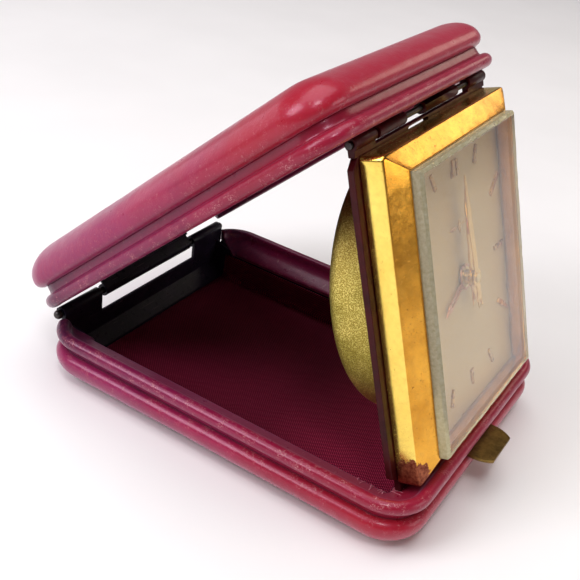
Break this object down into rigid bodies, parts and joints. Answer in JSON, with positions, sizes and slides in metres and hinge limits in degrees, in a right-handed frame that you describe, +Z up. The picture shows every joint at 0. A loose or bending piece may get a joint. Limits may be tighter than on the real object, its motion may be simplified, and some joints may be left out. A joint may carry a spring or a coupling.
{
  "type": "travel alarm clock",
  "caption": "Folding travel alarm clock: leather-covered two-part case, hinged clock plate as its strut, gilt bezel, thick crystal and wind-up movement in a drum.",
  "frame": {"origin": "centre of the flat underside of the base half, on the surface it stands on", "axes": "+X to the right as seen from the front, +Y from the clock face back to the rear hinge, +Z up"},
  "size_m": [0.07, 0.1015, 0.0825],
  "materials": {
    "leather": "glossy",
    "leather_bead": "glossy",
    "satin_lining": "satin",
    "dark_steel": "satin",
    "bright_steel": "satin",
    "gilt": "polished",
    "brass": "satin",
    "maroon_plate": "satin",
    "crystal": "polished",
    "dial": "satin",
    "copper_hand": "satin"
  },
  "bodies": {
    "base": {"base_shell": "leather", "base_bead": "leather_bead", "base_frame": "dark_steel", "base_lining": "satin_lining", "rear_hinge_wire": "dark_steel", "clasp_pin": "bright_steel", "clasp_spring": "bright_steel"},
    "clasp": {"clasp_lever": "brass"},
    "lid": {"lid_shell": "leather", "lid_bead": "leather_bead", "lid_frame": "dark_steel", "lid_lining": "satin_lining", "rear_hinge_tab": "dark_steel", "front_hinge_tabs": "dark_steel"},
    "clock": {"front_hinge_wire": "dark_steel", "mounting_plate": "maroon_plate", "bezel": "gilt", "crystal": "crystal", "dial": "dial", "hour_markers": "gilt", "drum_case": "gilt", "drum_screws": "brass", "movement_front_plate": "brass", "movement_back_plate": "brass", "pillars": "brass", "movement_screws": "bright_steel", "balance_cock": "brass", "hairspring": "bright_steel", "minute_wheel_stud": "bright_steel", "alarm_click_spring": "bright_steel"},
    "regulator": {"regulator_lever": "bright_steel"},
    "minute_work": {"centre_arbor": "bright_steel", "minute_hand": "gilt", "hand_set_knob": "gilt"},
    "hour_work": {"hour_wheel": "brass", "hour_hand": "gilt"},
    "minute_wheel_body": {"minute_wheel": "brass"},
    "alarm_pointer": {"alarm_wheel": "brass", "alarm_hand": "copper_hand"},
    "alarm_setting": {"alarm_set_arbor": "bright_steel", "alarm_set_knob": "gilt"},
    "centre_wheel_body": {"centre_wheel": "brass"},
    "time_barrel_body": {"time_mainspring_barrel": "brass"},
    "time_key_body": {"time_key": "gilt"},
    "third_wheel_body": {"third_wheel": "brass"},
    "fourth_wheel_body": {"fourth_wheel": "brass"},
    "escape_wheel_body": {"escape_wheel": "brass"},
    "pallet_body": {"pallet_lever": "bright_steel"},
    "balance_body": {"balance_wheel": "gilt"},
    "alarm_barrel_body": {"alarm_mainspring_barrel": "brass"},
    "alarm_key_body": {"alarm_key": "gilt"},
    "alarm_escape_body": {"alarm_escape_wheel": "brass"},
    "hammer_body": {"alarm_hammer": "bright_steel"}
  },
  "joints": [
    {"name": "lid_hinge", "type": "hinge", "parent": "base", "child": "lid", "pos_m": [0, 0.0443, 0.01315], "axis": [1, 0, 0], "range_deg": [-80, 0]},
    {"name": "plate_swing", "type": "hinge", "parent": "lid", "child": "clock", "pos_m": [0, -0.01699, 0.07262], "axis": [1, 0, 0], "range_deg": [0, 64.5]},
    {"name": "clasp_press", "type": "hinge", "parent": "base", "child": "clasp", "pos_m": [0, -0.0424, 0.00855], "axis": [1, 0, 0], "range_deg": [0, 6], "stiffness_Nm_per_rad": 0.05},
    {"name": "minute_spin", "type": "hinge", "parent": "clock", "child": "minute_work", "pos_m": [0, -0.02824, 0.04138], "axis": [0, 0.9478, -0.319], "continuous": true},
    {"name": "hour_spin", "type": "hinge", "parent": "clock", "child": "hour_work", "pos_m": [0, -0.02824, 0.04138], "axis": [0, 0.9478, -0.319], "continuous": true},
    {"name": "minute_wheel_spin", "type": "hinge", "parent": "clock", "child": "minute_wheel_body", "pos_m": [0, -0.02633, 0.04707], "axis": [0, 0.9478, -0.319], "continuous": true},
    {"name": "alarm_set_spin", "type": "hinge", "parent": "clock", "child": "alarm_setting", "pos_m": [0.00908, -0.0285, 0.04063], "axis": [0, 0.9478, -0.319], "continuous": true},
    {"name": "alarm_pointer_spin", "type": "hinge", "parent": "clock", "child": "alarm_pointer", "pos_m": [0, -0.02824, 0.04138], "axis": [0, 0.9478, -0.319], "continuous": true},
    {"name": "fourth_spin", "type": "hinge", "parent": "clock", "child": "fourth_wheel_body", "pos_m": [0.00563, -0.02458, 0.05226], "axis": [0, 0.9478, -0.319], "continuous": true},
    {"name": "third_spin", "type": "hinge", "parent": "clock", "child": "third_wheel_body", "pos_m": [-0.00156, -0.02542, 0.04978], "axis": [0, 0.9478, -0.319], "continuous": true},
    {"name": "centre_spin", "type": "hinge", "parent": "clock", "child": "centre_wheel_body", "pos_m": [0, -0.02824, 0.04138], "axis": [0, 0.9478, -0.319], "continuous": true},
    {"name": "time_barrel_spin", "type": "hinge", "parent": "clock", "child": "time_barrel_body", "pos_m": [-0.0086, -0.03017, 0.03567], "axis": [0, 0.9478, -0.319], "continuous": true},
    {"name": "escape_spin", "type": "hinge", "parent": "clock", "child": "escape_wheel_body", "pos_m": [0.01142, -0.02526, 0.05026], "axis": [0, 0.9478, -0.319], "continuous": true},
    {"name": "time_key_turn", "type": "hinge", "parent": "clock", "child": "time_key_body", "pos_m": [-0.0086, -0.01974, 0.03216], "axis": [0, 0.9478, -0.319], "continuous": true},
    {"name": "pallet_rock", "type": "hinge", "parent": "clock", "child": "pallet_body", "pos_m": [0.01418, -0.02599, 0.04807], "axis": [0, 0.9478, -0.319], "range_deg": [-4, 4]},
    {"name": "balance_swing", "type": "hinge", "parent": "clock", "child": "balance_body", "pos_m": [0.0173, -0.02742, 0.04384], "axis": [0, 0.9478, -0.319], "range_deg": [-120, 120], "stiffness_Nm_per_rad": 0.000001},
    {"name": "regulator_turn", "type": "hinge", "parent": "clock", "child": "regulator", "pos_m": [0.0173, -0.02742, 0.04384], "axis": [0, 0.9478, -0.319], "range_deg": [-12, 12]},
    {"name": "alarm_barrel_spin", "type": "hinge", "parent": "clock", "child": "alarm_barrel_body", "pos_m": [0.0095, -0.03207, 0.03001], "axis": [0, 0.9478, -0.319], "continuous": true},
    {"name": "alarm_escape_spin", "type": "hinge", "parent": "clock", "child": "alarm_escape_body", "pos_m": [0.00107, -0.03333, 0.02628], "axis": [0, 0.9478, -0.319], "continuous": true},
    {"name": "alarm_key_turn", "type": "hinge", "parent": "clock", "child": "alarm_key_body", "pos_m": [0.0095, -0.02165, 0.0265], "axis": [0, 0.9478, -0.319], "continuous": true},
    {"name": "hammer_swing", "type": "hinge", "parent": "clock", "child": "hammer_body", "pos_m": [-0.0036, -0.03424, 0.02356], "axis": [0, 0.9478, -0.319], "range_deg": [-4, 4]}
  ],
  "couplings": [
    {"joint": "hour_spin", "follows": "minute_spin", "ratio": 0.083333},
    {"joint": "minute_wheel_spin", "follows": "minute_spin", "ratio": -0.33333},
    {"joint": "alarm_pointer_spin", "follows": "alarm_set_spin", "ratio": -0.9},
    {"joint": "third_spin", "follows": "fourth_spin", "ratio": -0.13333},
    {"joint": "centre_spin", "follows": "fourth_spin", "ratio": 0.016667},
    {"joint": "time_barrel_spin", "follows": "fourth_spin", "ratio": -0.0027778},
    {"joint": "escape_spin", "follows": "fourth_spin", "ratio": -10},
    {"joint": "alarm_escape_spin", "follows": "alarm_barrel_spin", "ratio": -6.75}
  ]
}
